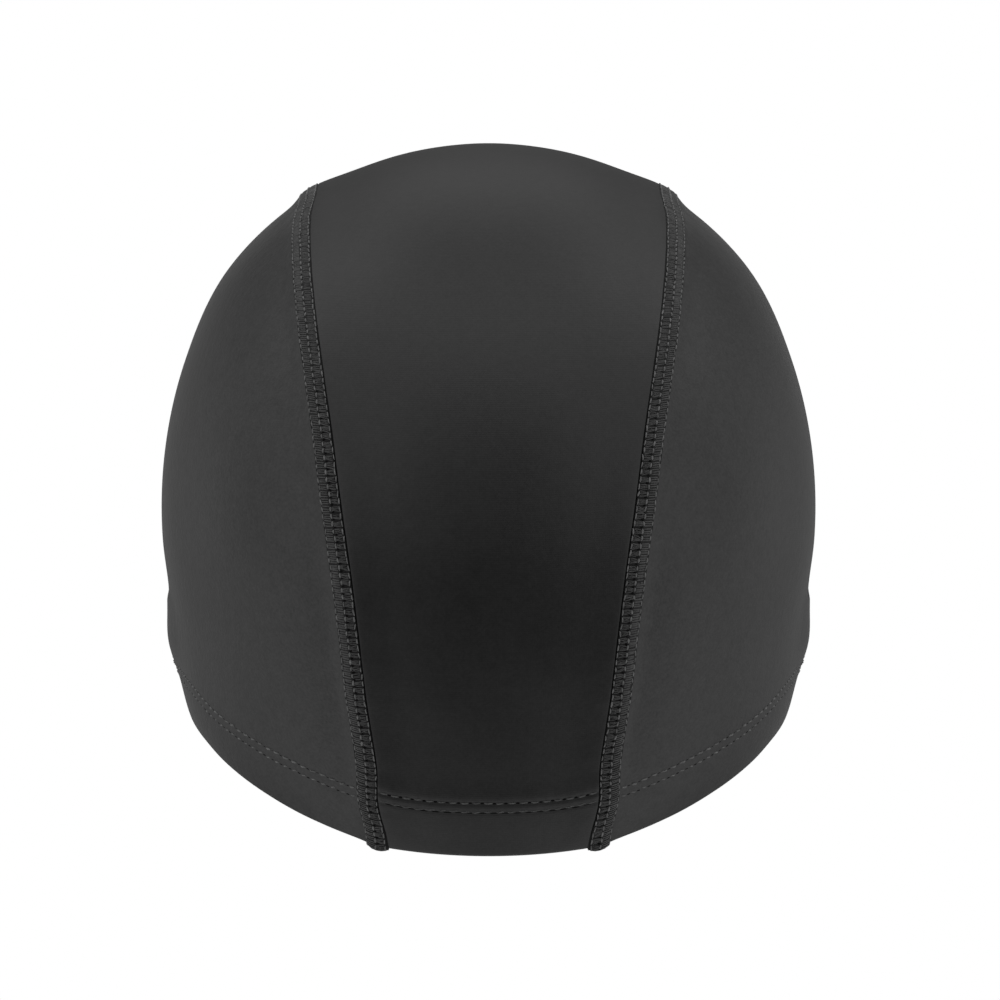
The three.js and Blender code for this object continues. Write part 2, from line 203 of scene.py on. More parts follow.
# Looks
KNIT_UNIT = 100.0  # millimetres to one unit of the knit's coordinates
KNIT_RADIUS = Values(around=88.0, upright=95.0)
COURSE = 0.52
WALE = 0.44
NOISE_INPUTS = ("Scale", "Detail", "Roughness")
NOISES = {
    "cloth_grain": (1500.0, 2.0, 0.6),
    "cloth_fuzz": (420.0, 3.0, 0.6),
    "cloth_patch": (55.0, 4.0, 0.5),
    "thread_fibre": (5200.0, 2.0, 0.6),
    "thread_patch": (700.0, 2.0, 0.5),
}
# The centre panel's cloth is darker than the side panels': partly its own smoother, darker knit, partly
# painted shade over the middle of the back
# The edge and fold looks, for the seam's strip, are darker than the panels: painted shade between the
# threads that lie on it
# The inside look is lighter than the outside: partly the duller wrong side of the cloth, partly painted
# light in the dark hollow
CLOTH_LOOKS = by_name(("knit_centre_tone_and_shade", "knit_side", "knit_inside_tone_and_light", "knit_edge_painted_shade", "knit_fold_painted_shade"), {
    "greys": [(0.0003, 0.0125), (0.001, 0.03), (0.03, 0.09), (0.003, 0.008), (0.003, 0.01)],
    "rough": [(0.33, 0.42), (0.36, 0.46), (0.55, 0.75), (0.6, 0.8), (0.55, 0.7)],
    "specular": [0.55, 0.6, 0.3, 0.25, 0.3],
    "sheen": [0.06, 0.2, 0.15, 0.1, 0.1],
    "sheen_rough": [0.4, 0.3, 0.4, 0.45, 0.45],
    "course": [0.3, 0.08, 0.3, 0.3, 0.3],
    "stripe": [0.03, 0.0, 0.0, 0.0, 0.0],
    "bump": [0.08, 0.26, 0.3, 0.3, 0.3],
})
# The last thread look is near-black: painted shade for the needle holes and the seam's openings
THREADS = ("needle_thread", "looper_thread", "cover_thread", "pale_thread", "hem_thread", "painted_hole_shade")
THREAD_LOOKS = by_name(THREADS, {
    "greys": [
        (0.065, 0.208), (0.0275, 0.088), (0.026, 0.0832), (0.0425, 0.136), (0.065, 0.208), (0.0015, 0.0048),
    ],
    "rough": [(0.45, 0.7), (0.45, 0.7), (0.45, 0.65), (0.5, 0.7), (0.5, 0.7), (0.8, 0.9)],
    "specular": [0.45, 0.4, 0.45, 0.4, 0.4, 0.1],
    "sheen": [0.2, 0.15, 0.15, 0.15, 0.2, 0.0],
    "sheen_rough": [0.4] * len(THREADS),
    "bump": [0.35] * len(THREADS),
})
CLOTH_MAPS = Values(ramp=(0.3, 0.7), bump_distance=0.00012)
THREAD_MAPS = Values(ramp=(0.35, 0.65), bump_distance=0.00008)

# Large soft lights, the same on both sides: azimuth (0 at the camera), elevation and strength
SOFTNESS = 12.0
ROOM_GLOW = 0.09
LIGHTS = {
    "above_the_camera": (0, 60, 1.0),
    "raised_near_sides": (30, 30, 0.6),
    "beside_the_camera": (30, 0, 0.4),
    "near_sides": (60, 0, 0.9),
    "near_ground": (60, -60, 0.9),
    "below": (0, -90, 0.15),
    "far_ground": (180, -60, 1.0),
    "high_sides": (90, 60, 1.2),
    "raised_sides": (90, 30, 0.6),
    "low_sides": (90, -30, 0.8),
    "far_sides": (120, 0, 0.6),
    "above_the_backdrop": (180, 60, 0.7),
}

# Floor in millimetres, camera in metres
FLOOR = Values(radius=2100.0, z=-300.0, corners=96, grey=0.9, rough=0.9, glow=0.28)
CAMERA = Values(place=(-0.00276, 3.0, -0.08485), degrees=(90, 0, 180), sensor=36, lens=446.4, far=30)


def along(table, column, at):
    """Values of a table's column at places between those in its first one, by a smooth curve."""
    places = np.asarray(next(iter(table.values())), float)
    values = np.asarray(table[column], float)
    at = np.asarray(at, float)
    row = np.clip(np.searchsorted(places, at, side="left") - 1, 0, len(places) - 2)
    before = np.maximum(np.arange(len(places)) - 1, 0)
    after = np.minimum(np.arange(len(places)) + 1, len(places) - 1)
    slope = (values[after] - values[before]) / (places[after] - places[before])
    span = places[row + 1] - places[row]
    t = np.clip((at - places[row]) / span, 0, 1)
    rise = t * t * (3 - 2 * t)
    bend = span * t * (1 - t) * (slope[row] * (1 - t) - slope[row + 1] * t)
    return values[row] * (1 - rise) + values[row + 1] * rise + bend


def bell(distance):
    return np.exp(-distance * distance)


def eased(value, low, high):
    """Share from 0 at low to 1 at high, with a soft start and end."""
    t = np.clip((value - low) / (high - low), 0, 1)
    return t * t * (3 - 2 * t)


def unit(vectors):
    return vectors / np.maximum(np.linalg.norm(vectors, axis=-1, keepdims=True), 1e-12)


def run_lengths(points):
    """Distance of each point from the first one, along a line of points or down a grid's columns."""
    steps = np.linalg.norm(np.diff(points, axis=0), axis=-1)
    return np.concatenate([np.zeros((1, *steps.shape[1:])), np.cumsum(steps, axis=0)])


def waves(place, wavelengths, seed):
    """Gentle uneven waves along a line, the same on every run."""
    phases = np.random.default_rng(seed).uniform(0, 2 * pi, len(wavelengths))
    total = sum(np.sin(2 * pi * place / length + phase) for length, phase in zip(wavelengths, phases))
    return total / sqrt(len(wavelengths))


def between(first, second, share):
    return first + (second - first) * share


def uneven(count, spread, middle=0.0):
    """One random value for each stitch."""
    return RANDOM.normal(middle, spread, (count, 1))


def turn_of(points):
    turn = np.degrees(np.arctan2(points[..., 2] - CENTRE[2], points[..., 1]))
    return np.where(turn < -90, turn + 360, turn)


def azimuth_of(points):
    return np.degrees(np.arctan2(points[..., 1], np.abs(points[..., 0])))


def seam_offset(turn):
    return along(SEAM, "offset", turn)


def plain_reach(directions):
    """Distance from the centre to the cloth, without the ridges that the seams make."""
    level = np.hypot(directions[..., 0], directions[..., 1])
    elevation = np.degrees(np.arctan2(directions[..., 2], level))
    side, back, front = (along(PROFILE, part, elevation) for part in ("side", "back", "front"))
    end = np.where(directions[..., 1] > 0, back, front)
    power = 2 + FULLNESS * level**2
    safe = np.maximum(level, 1e-12)
    across = np.where(level > 0, np.abs(directions[..., 0]) / safe, 1)
    lengthways = np.where(level > 0, np.abs(directions[..., 1]) / safe, 0)
    smooth = ((across / side) ** power + (lengthways / end) ** power) ** (-1 / power)
    points = directions * smooth[..., None] + CENTRE
    over_ear = bell((points[..., 1] - EAR.y) / EAR.half_length)
    level_with_ear = bell((CROWN_Z - EAR.drop - points[..., 2]) / EAR.half_height)
    return smooth + EAR.rise * over_ear * level_with_ear


def reach(directions):
    plain = plain_reach(directions)
    points = directions * plain[..., None] + CENTRE
    beyond = np.abs(points[..., 0]) - seam_offset(turn_of(points))
    spread = np.where(beyond > 0, RIDGE.outer, RIDGE.inner)
    return plain + RIDGE.rise * bell(beyond / spread)


def standing(points, reach_of=reach):
    """How far points stand outside the cloth."""
    rays = points - CENTRE
    distance = np.linalg.norm(rays, axis=-1)
    return distance - reach_of(rays / distance[..., None])


def on_cloth(points):
    rays = unit(points - CENTRE)
    return rays * reach(rays)[..., None] + CENTRE


def halved(is_before, low, high, halvings):
    """The place between low and high where is_before stops being true."""
    for _ in range(halvings):
        middle = (low + high) / 2
        before = is_before(middle)
        low = np.where(before, middle, low)
        high = np.where(before, high, middle)
    return (low + high) / 2


def hit(start, direction):
    """Where lines from inside the cap meet the cloth."""

    def inside(length):
        return standing(start + direction * length[..., None]) < 0

    low = np.zeros(start.shape[:-1])
    return start + direction * halved(inside, low, low + FAR, CLOTH_HALVINGS)[..., None]


def at_turn(x, turn):
    x, angle = np.broadcast_arrays(x, np.radians(turn))
    start = np.stack([x, 0 * x, 0 * x + CENTRE[2]], -1)
    return hit(start, np.stack([0 * angle, np.cos(angle), np.sin(angle)], -1))


def at_azimuth(azimuth, z):
    angle = np.radians(azimuth)
    start = np.stack([0 * z, 0 * z, z], -1)
    return hit(start, np.stack([np.cos(angle), np.sin(angle), 0 * angle], -1))


def rim_z(azimuth):
    share = (90 - azimuth) / (90 - NAPE_RIM.azimuth)
    nape = between(NAPE_RIM.middle_drop, NAPE_RIM.drop, share**2)
    drop = np.where(azimuth <= NAPE_RIM.azimuth, along(RIM, "drop", azimuth), nape)
    return CROWN_Z - drop


def normals_at(points):
    """Outward directions of the cloth, without the seams' ridges."""
    parts = []
    for axis in range(3):
        shift = np.zeros(3)
        shift[axis] = PROBE_LENGTH
        ahead = standing(points + shift, plain_reach)
        parts.append(ahead - standing(points - shift, plain_reach))
    return unit(np.stack(parts, -1))


def beside_seam(turn, distance):
    """Distance from the middle plane of a line beside the seam, at a distance across the cloth."""
    offset = seam_offset(turn)
    middle = at_turn(offset, turn)
    normal = normals_at(middle)
    aside = unit(np.array([1.0, 0, 0]) - normal * normal[..., :1])
    guess = distance * aside[..., 0]
    reached = np.sum((at_turn(offset + guess, turn) - middle) * aside, -1)
    return offset + guess * distance / reached


EDGE_TABLES = {}


def beside(turn, distance):
    """The same line, read from a table that is worked out once for each distance."""
    if distance == 0:
        return seam_offset(turn)
    if distance not in EDGE_TABLES:
        EDGE_TABLES[distance] = beside_seam(TURN_TABLE, distance)
    return np.interp(turn, TURN_TABLE, EDGE_TABLES[distance])


def rim_turns(offset_at, count):
    """Turns at which lines of given distance from the middle plane meet the lower edge."""
    ends = []
    for sense, (low, high) in ((1, NAPE_TURNS), (-1, FRONT_TURNS)):

        def before_rim(turn):
            points = at_turn(offset_at(turn), turn)
            return sense * (points[..., 2] - rim_z(azimuth_of(points))) < 0

        ends.append(halved(before_rim, np.full(count, low), np.full(count, high), RIM_HALVINGS))
    return ends


def turn_each_mm(end, sense, offset_at):
    probe = end + sense * PROBE_TURN
    reached = at_turn(offset_at(end), end) - at_turn(offset_at(probe), probe)
    return sense * PROBE_TURN / np.linalg.norm(reached, axis=-1)


def hem_rows(depth):
    """Heights above the lower edge of the grid's rows in the hem, for each column's stitch depth."""
    foot = HEM / 2
    fine = depth - FINE_BELOW
    low_part = [foot + share * (fine - foot) for share in LOW_SHARES]
    return np.array(low_part + [fine + step for step in FINE_STEPS])


SEAM_ARC = run_lengths(at_turn(seam_offset(TURN_TABLE), TURN_TABLE))


def ear_fold(points):
    """A soft step in the cloth over the ear: it stands out at the fold and falls back below it."""
    below = np.maximum(EAR_FOLD.z - points[..., 2], 0)
    step = (1 - np.exp(-below / EAR_FOLD.onset)) * np.exp(-below / EAR_FOLD.fall)
    away = np.abs(points[..., 1] - EAR.y)
    return EAR_FOLD.rise * step * (1 - eased(away, EAR_FOLD.near, EAR_FOLD.far))


def seam_relief(points, normals, edge, size):
    """The crease beside the seam and the puckers that run out from it."""
    turn = turn_of(points)
    slope = np.sqrt(np.maximum(1 - normals[..., 0] ** 2, 0.04))
    beyond = (np.abs(points[..., 0]) - seam_offset(turn)) / slope
    distance = np.maximum(np.abs(beyond) - edge, 0)
    crease = -size.crease * np.exp(-distance / size.reach)
    crease = crease * along(CREASE_DEPTH, "depth", points[..., 2])
    arc = np.interp(turn, TURN_TABLE, SEAM_ARC)
    pucker = 0
    for run in PUCKERS:
        ripple = waves(arc + run.slant * distance, run.wavelengths, run.seed)
        pucker = pucker + run.share * ripple * np.exp(-distance / run.reach)
    return crease + pucker * size.pucker


def relief(points, normals, above, depth, edge, row_arc, kind):
    """How far the cloth stands out of its smooth form, by the seam, the stitches and the ear."""
    size = RELIEF[kind]
    from_upper = above - depth
    from_lower = from_upper + ROW_APART
    tuck = -UPPER_TUCK.size * bell(from_upper / UPPER_TUCK.reach)
    tuck = tuck - LOWER_TUCK.size * bell(from_lower / LOWER_TUCK.reach)
    from_rim = eased(above, BELOW_TUCKS.rim_end, BELOW_TUCKS.full)
    tuck = tuck - BELOW_TUCKS.size * eased(-from_lower, 0, BELOW_TUCKS.onset) * from_rim
    pinch = PINCH.size * waves(row_arc, PINCH.wavelengths, PINCH.seed)
    pinch = pinch * bell(from_upper / PINCH.reach)
    swell = bell(np.maximum(from_upper, 0) / SWELL.reach) * eased(from_upper, -SWELL.below, 0)
    lean = size.lean * (np.maximum(-from_lower, 0) / LEAN_REACH) ** 3
    beside_band = seam_relief(points, normals, edge, size)
    return beside_band + (tuck + pinch) * size.tuck + size.swell * swell - lean + ear_fold(points)


def flipped(faces):
    return [face[::-1] for face in faces]


def new_object(name, data):
    piece = bpy.data.objects.new(name, data)
    bpy.context.scene.collection.objects.link(piece)
    return piece


def mesh_object(name, points, faces, slots, materials, mirror, uv=None, sharp=50):
    if mirror:
        points = points * np.array([-1, 1, 1])
        faces = flipped(faces)
    mesh = bpy.data.meshes.new(name)
    mesh.from_pydata((points * MM).tolist(), [], faces)
    for material in materials:
        mesh.materials.append(material)
    mesh.polygons.foreach_set("material_index", slots)
    mesh.validate()
    mesh.polygons.foreach_set("use_smooth", [True] * len(mesh.polygons))
    mesh.set_sharp_from_angle(angle=radians(sharp))
    if uv is not None:
        layer = mesh.uv_layers.new(name="knit")
        corners = np.zeros(len(mesh.loops), np.int32)
        mesh.loops.foreach_get("vertex_index", corners)
        layer.data.foreach_set("uv", uv[corners].astype(np.float32).ravel())
    return new_object(name, mesh)


def tube_faces(ring):
    """Faces between the rows of a grid of points whose last row joins the first."""
    following = np.roll(ring, -1, axis=0)
    faces = np.stack([ring[:, :-1], ring[:, 1:], following[:, 1:], following[:, :-1]], -1)
    return faces.reshape(-1, 4).tolist()


def panel_piece(name, panel, materials, mirror):
    """Closed sheet: rows of points outside, the same rows inside, and a rounded fold at each hem."""
    rows, uv = panel["points"], panel["uv"]
    first_fold, last_fold = panel["folds"]
    count, columns = rows.shape[:2]
    extra = len(last_fold)
    points = np.concatenate([rows, last_fold, panel["inside"][::-1], first_fold])
    total = len(points)
    ring = np.arange(total * columns).reshape(total, columns)
    faces = tube_faces(ring)
    first_inside = count + extra
    last_inside = first_inside + count - 1
    # The inside takes the lighter inside cloth: partly the cloth's duller wrong side, partly painted light
    # in the dark hollow
    slots = [0] * total
    slots[first_inside:last_inside] = [1] * (count - 1)
    slots = np.repeat(slots, columns - 1).tolist()
    for column in (0, columns - 1):
        edge = ring[:, column].tolist()
        sides = []
        for r in range(count - 1):
            behind = last_inside - r
            sides.append([edge[r], edge[r + 1], edge[behind - 1], edge[behind]])
        if extra:
            sides.append(edge[count - 1:first_inside + 1])
        sides.append(edge[last_inside:] + edge[:1])
        faces += flipped(sides) if column else sides
    slots += [0] * (len(faces) - len(slots))
    uv = np.concatenate([uv, np.repeat(uv[-1:], extra, 0), uv[::-1], np.repeat(uv[:1], len(first_fold), 0)])
    return mesh_object(name, points.reshape(-1, 3), faces, slots, materials, mirror, uv.reshape(-1, 2))


def fold_rows(outside, inside, upward):
    """Rounded lower edge between the outermost and the innermost point of each column."""
    middle = (outside + inside) / 2
    radius = np.linalg.norm(outside - inside, axis=-1, keepdims=True) / 2
    out = unit(outside - inside)
    down = -unit(upward - out * np.sum(upward * out, -1, keepdims=True))
    angles = np.radians([30, 60, 90, 120, 150])
    return np.array([middle + radius * (cos(a) * out + sin(a) * down) for a in angles])


def dressed(points, above, depth, edge, row_arc, kind):
    """The cloth's outside with its relief, its inside, and what the stitches need to know of it."""
    normals = normals_at(points)
    proud = relief(points, normals, above, depth, edge, row_arc, kind)
    past_hem = (above - depth - RAW_EDGE.above_stitches) / RAW_EDGE.slope
    thick = between(HEM, CLOTH, np.clip(past_hem, 0, 1))
    outside = points + normals * proud[..., None]
    inside = points - normals * thick[..., None]
    first_fold = fold_rows(outside[0], inside[0], points[1] - points[0])[::-1]
    return {
        "points": outside, "inside": inside, "normals": normals, "depth": depth,
        "folds": [first_fold, outside[:0]],
    }


def spaced(length, step):
    """Places from 0 to a length, close together at the start and evenly spaced after that."""
    rest = length - NEAR_SEAM[-1]
    count = max(int(round(rest / step)), 1)
    return np.concatenate([NEAR_SEAM, NEAR_SEAM[-1] + rest * np.arange(1, count + 1) / count])


def spaced_both_ways(length, step):
    half = spaced(length / 2, step)
    return np.concatenate([half, length - half[-2::-1]])


def centre_panel():
    edge = CREASE - BAND_INNER
    shares = 1 - spaced_both_ways(CENTRE_GRID.width, CENTRE_GRID.column) / (CENTRE_GRID.width / 2)

    def offset_at(turn):
        return shares * beside(turn, -edge)

    nape, front = rim_turns(offset_at, len(shares))
    depth = between(CENTRE_DEPTH.middle, CENTRE_DEPTH.seam, shares**4)
    heights = hem_rows(depth)
    nape_rows = nape + heights * turn_each_mm(nape, 1, offset_at)
    front_rows = (front + heights * turn_each_mm(front, -1, offset_at))[::-1]
    parts = np.linspace(0, 1, CENTRE_GRID.rows_between_hems + 2)[1:-1, None]
    turns = np.concatenate([nape_rows, between(nape_rows[-1], front_rows[0], parts), front_rows])
    points = at_turn(offset_at(turns), turns)
    from_nape = run_lengths(points) + HEM / 2
    from_front = run_lengths(points[::-1])[::-1] + HEM / 2
    above = np.minimum(from_nape, from_front)
    row_arc = run_lengths(points[STITCH_ROW])
    row_arc = row_arc - row_arc[len(row_arc) // 2]
    panel = dressed(points, above, depth, edge, row_arc, "centre")
    panel["folds"][1] = fold_rows(panel["points"][-1], panel["inside"][-1], points[-2] - points[-1])
    panel["uv"] = np.stack([points[..., 0], from_nape], -1) / KNIT_UNIT
    panel["from_first_row"] = from_nape
    panel["from_last_row"] = from_front
    return panel


def side_hem(azimuths, places, heights, ends, edge_at):
    """The side panel's rows in the hem, and the turns at which the last of them meets the seam."""
    base = at_azimuth(azimuths, rim_z(azimuths))
    ahead = at_azimuth(azimuths + PROBE_AZIMUTH, rim_z(azimuths + PROBE_AZIMUTH))
    behind = at_azimuth(azimuths - PROBE_AZIMUTH, rim_z(azimuths - PROBE_AZIMUTH))
    square = unit(np.cross(normals_at(base), ahead - behind))
    free = eased(np.minimum(places, 1 - places), 0, CORNER_BLEND)[:, None]
    starts = [at_turn(edge_at(end), end) for end in ends]
    rates = [turn_each_mm(np.array([end]), sense, edge_at)[0] for end, sense in zip(ends, (-1, 1))]
    rows = []
    for height in heights:
        turns = ends[0] + height[0] * rates[0], ends[1] + height[-1] * rates[1]
        reached = [at_turn(edge_at(turn), turn) for turn in turns]
        to_front, to_nape = reached[0] - starts[0], reached[1] - starts[1]
        seam_steps = np.where((places < 0.5)[:, None], to_front, to_nape)
        row = on_cloth(base + (seam_steps * (1 - free) + square * height[:, None] * free))
        row[0], row[-1] = reached
        rows.append(row)
    return rows, turns


def side_panel():
    edge = BAND_OUTER + SIDE_GAP

    def edge_at(turn):
        return beside(turn, edge)

    def edge_point(turn):
        return at_turn(edge_at(turn), turn)

    nape, front = (end[0] for end in rim_turns(edge_at, 1))
    first, last = azimuth_of(edge_point(front)), azimuth_of(edge_point(nape))
    places = spaced_both_ways(SIDE_GRID.rim, SIDE_GRID.column) / SIDE_GRID.rim
    azimuths = between(first, last, places)
    depth = along(STITCH_DEPTH, "depth", azimuths)
    rows, (front_turn, nape_turn) = side_hem(azimuths, places, hem_rows(depth), (front, nape), edge_at)
    hem_line = rows[-1]
    top = edge_point(between(CORNER_TURNS.front, CORNER_TURNS.back, places))
    across = places[:, None]
    upward = 1 - spaced(SIDE_GRID.height, SIDE_GRID.row)[::-1] / SIDE_GRID.height
    for v in upward[1:]:
        front_end = edge_point(between(front_turn, CORNER_TURNS.front, v))
        back_end = edge_point(between(nape_turn, CORNER_TURNS.back, v))
        upright = hem_line * (1 - v) + top * v
        level = front_end * (1 - across) + back_end * across
        low = hem_line[0] * (1 - v) + top[0] * v
        high = hem_line[-1] * (1 - v) + top[-1] * v
        row = on_cloth(upright + level - (low * (1 - across) + high * across))
        row[0], row[-1] = front_end, back_end
        rows.append(row)
    rows[-1] = top
    points = np.array(rows)
    above = run_lengths(points) + HEM / 2
    panel = dressed(points, above, depth, edge, run_lengths(points[STITCH_ROW]), "side")
    rays = points - CENTRE
    around = np.arctan2(points[..., 1], points[..., 0]) * KNIT_RADIUS.around
    upright = np.arctan2(rays[..., 2], np.hypot(rays[..., 0], rays[..., 1])) * KNIT_RADIUS.upright
    panel["uv"] = np.stack([around, upright], -1) / KNIT_UNIT
    panel["from_first_row"] = above
    return panel


class Graph:
    """The nodes of a material or a world, with short calls for the kinds that repeat."""

    def __init__(self, owner):
        owner.use_nodes = True
        self.nodes = owner.node_tree.nodes
        self.links = owner.node_tree.links

    def feed(self, node, inputs):
        """Joins outputs of other nodes to a node's inputs, and sets plain values on them."""
        for name, value in inputs.items():
            if isinstance(value, bpy.types.NodeSocket):
                self.links.new(value, node.inputs[name])
            else:
                node.inputs[name].default_value = value
        return node

    def add(self, kind, inputs):
        return self.feed(self.nodes.new(kind), inputs)

    def math(self, operation, *values):
        node = self.nodes.new("ShaderNodeMath")
        node.operation = operation
        return self.feed(node, dict(enumerate(values))).outputs[0]

    def noise(self, place, kind):
        values = dict(zip(NOISE_INPUTS, NOISES[kind]))
        return self.add("ShaderNodeTexNoise", {"Vector": place, **values}).outputs["Fac"]

    def wave(self, value, length):
        return self.math("SINE", self.math("MULTIPLY", value, 2 * pi / length))

    def weighted(self, *terms):
        """Sum of outputs, each times its weight."""
        total = None
        for value, weight in terms:
            term = self.math("MULTIPLY", value, weight)
            total = term if total is None else self.math("ADD", total, term)
        return total

    def finish(self, look, maps, shade, patch, height):
        """Joins a material's maps: shade to its colour, patch to its roughness, height to its bump."""
        ramp = self.add("ShaderNodeValToRGB", {"Fac": shade})
        for element, position, grey in zip(ramp.color_ramp.elements, maps.ramp, look.greys):
            element.position = position
            element.color = (grey, grey, grey, 1)
        low, high = look.rough
        rough = self.add("ShaderNodeMapRange", {"Value": patch, "To Min": low, "To Max": high})
        bump = self.add("ShaderNodeBump", {
            "Strength": look.bump, "Distance": maps.bump_distance, "Height": height,
        })
        self.feed(self.nodes["Principled BSDF"], {
            "Base Color": ramp.outputs["Color"],
            "Roughness": rough.outputs["Result"],
            "Normal": bump.outputs["Normal"],
            "Specular IOR Level": look.specular,
            "Sheen Weight": look.sheen,
            "Sheen Roughness": look.sheen_rough,
        })


def new_material(name):
    """A material, its nodes, and the place on the object that its noises read."""
    material = bpy.data.materials.new(name)
    graph = Graph(material)
    return material, graph, graph.nodes.new("ShaderNodeTexCoord").outputs["Object"]


def cloth_material(name, look):
    """Knitted cloth: rows of stitches, fine fuzz and soft uneven patches."""
    material, graph, place = new_material(name)
    knit = graph.nodes.new("ShaderNodeUVMap")
    knit.uv_map = "knit"
    split = graph.add("ShaderNodeSeparateXYZ", {0: knit.outputs["UV"]})
    course = graph.wave(split.outputs["Y"], COURSE / KNIT_UNIT)
    wale = graph.wave(split.outputs["X"], WALE / KNIT_UNIT)
    grain = graph.noise(place, "cloth_grain")
    fuzz = graph.noise(place, "cloth_fuzz")
    patch = graph.noise(place, "cloth_patch")
    height = graph.weighted((course, look.course), (wale, 0.4 * look.course), (grain, 2.0), (fuzz, 4.0))
    shade = graph.weighted((grain, 0.5), (fuzz, 0.3), (patch, 0.2), (course, look.stripe))
    graph.finish(look, CLOTH_MAPS, shade, patch, height)
    return material


def thread_material(name, look):
    """Twisted thread: fine fibres, lighter and darker by turns."""
    material, graph, place = new_material(name)
    fibre = graph.noise(place, "thread_fibre")
    patch = graph.noise(place, "thread_patch")
    shade = graph.weighted((fibre, 0.5), (patch, 0.5))
    graph.finish(look, THREAD_MAPS, shade, patch, fibre)
    return material


def strands(points, normals, radius, slot, sides, flat=1.0):
    """Short closed threads: points is strands by places by 3, radius one value for each place."""
    count, places = points.shape[:2]
    tangent = unit(np.gradient(points, axis=1))
    aside = unit(np.cross(normals, tangent))
    out = np.cross(tangent, aside) * np.broadcast_to(flat, (count, places))[..., None]
    radius = np.broadcast_to(np.asarray(radius, float), (count, places))[:, :, None, None]
    angles = (np.arange(sides) * 2 * pi / sides)[:, None]
    ring = points[:, :, None] + radius * np.cos(angles) * aside[:, :, None]
    ring = ring + radius * np.sin(angles) * out[:, :, None]
    index = np.arange(count * places * sides).reshape(count, places, sides)
    after = np.roll(index, -1, axis=2)
    quads = np.stack([index[:, :-1], after[:, :-1], after[:, 1:], index[:, 1:]], -1).reshape(-1, 4)
    caps = np.concatenate([index[:, 0, ::-1], index[:, -1]])
    return ring.reshape(-1, 3), quads, caps, slot


def thread_piece(name, groups, materials, mirror=False):
    points, faces, slots, start = [], [], [], 0
    for ring, quads, caps, slot in groups:
        points.append(ring)
        faces += (quads + start).tolist() + (caps + start).tolist()
        slots += [slot] * (len(quads) + len(caps))
        start += len(ring)
    return mesh_object(name, np.concatenate(points), faces, slots, materials, mirror, sharp=80)


def stitch_parts(count, power):
    """Places along a stitch from 0 to 1, and how much of its height it has at each."""
    part = np.linspace(0, 1, count)[None]
    return part, np.sin(pi * part) ** power


class Surface:
    """Points of a seam's surface by length along it and distance across it."""

    def __init__(self, first_turn, last_turn):
        turns = np.linspace(first_turn, last_turn, SEAM_LINES)
        self.grid = np.stack([at_turn(beside(turns, across), turns) for across in ACROSS], 1)
        self.normals = normals_at(self.grid)
        self.middle = self.grid[:, len(ACROSS) // 2]
        self.arc = run_lengths(self.middle)
        self.length = self.arc[-1]

    def from_end(self, s):
        return np.minimum(s, self.length - s)

    def place(self, s, across, height):
        """Points at a length, a distance across and a height, and the outward directions there."""
        s, across, height = np.broadcast_arrays(s, across, height)
        rows = np.interp(s, self.arc, np.arange(len(self.arc)))
        columns = np.interp(across, ACROSS, np.arange(len(ACROSS)))
        r = np.clip(rows.astype(int), 0, len(self.arc) - 2)
        c = np.clip(columns.astype(int), 0, len(ACROSS) - 2)
        row_part, column_part = (rows - r)[..., None], (columns - c)[..., None]

        def blend(values):
            low = values[r, c] * (1 - column_part) + values[r, c + 1] * column_part
            high = values[r + 1, c] * (1 - column_part) + values[r + 1, c + 1] * column_part
            return low * (1 - row_part) + high * row_part

        normals = unit(blend(self.normals))
        return blend(self.grid) + normals * height[..., None], normals


def end_nose(from_end):
    """Share of its full size that the band has near its rounded ends."""
    end = np.clip(from_end / END_ROUND, 0, 1)
    return np.sqrt(np.clip(1 - (1 - end) ** 2, END_LEAST, 1))


def under_depth(from_end):
    """Depth of the flange's upper side: under one layer of cloth, or two in the hem."""
    return UNDER_GAP + HEM + (CLOTH - HEM) * eased(from_end, *HEM_END)


def seam_band(surface, name, materials, mirror):
    """Lapped edges of the two panels: a strip between the panels and a flange under them."""
    length = surface.length
    s = np.concatenate([BAND_ENDS, np.linspace(2, length - 2, BAND_LINES), length - BAND_ENDS[::-1]])
    from_end = surface.from_end(s)
    narrow = eased(from_end, *FLANGE_END.stretch)
    under = under_depth(from_end)
    lowest = SEAM_MIDDLE - (HEM / 2 + FLANGE_END.below_hem) - FLANGE_END.rise * narrow
    middle_z = np.interp(s, surface.arc, surface.middle[:, 2])
    crease_depth = CREASE_FLOOR * along(CREASE_DEPTH, "depth", middle_z)
    rows = []
    for k, (across, height, share, crease) in enumerate(zip(*BAND_SECTION.values())):
        level = height - share * under - crease * crease_depth
        if share == 0 and crease == 0:
            level = level + BAND_WAVES.size * waves(s, BAND_WAVES.wavelengths, BAND_WAVES.first_seed + k)
        half = FLANGE_END.half_width
        if share == 1 and abs(across) > BAND_OUTER + CREASE:
            across = np.sign(across) * (half + (abs(across) - half) * narrow)
            level = np.maximum(level, lowest + FLANGE_END.apart * (FLANGE + height))
        corner = END_CORNER * (np.minimum(abs(across), BAND_OUTER) / BAND_OUTER) ** 2
        shifted = s + corner * (1 - 2 * s / length)
        level = between(SEAM_MIDDLE, level, end_nose(from_end))
        rows.append(surface.place(shifted, across, level)[0])
    grid = np.array(rows)
    count, columns = grid.shape[:2]
    index = np.arange(count * columns).reshape(count, columns)
    faces = tube_faces(index) + [index[:, 0].tolist(), index[::-1, -1].tolist()]
    # The strip's cloth is darker than the panels': painted shade between the threads that lie on it
    slots = [0] * (EDGE_POINTS * (columns - 1))
    slots += [1] * (len(faces) - len(slots))
    uv = np.stack([np.repeat(np.arange(count), columns) * 0.01, np.tile(s / KNIT_UNIT, count)], -1)
    return mesh_object(name, grid.reshape(-1, 3), faces, slots, materials, mirror, uv, sharp=45)


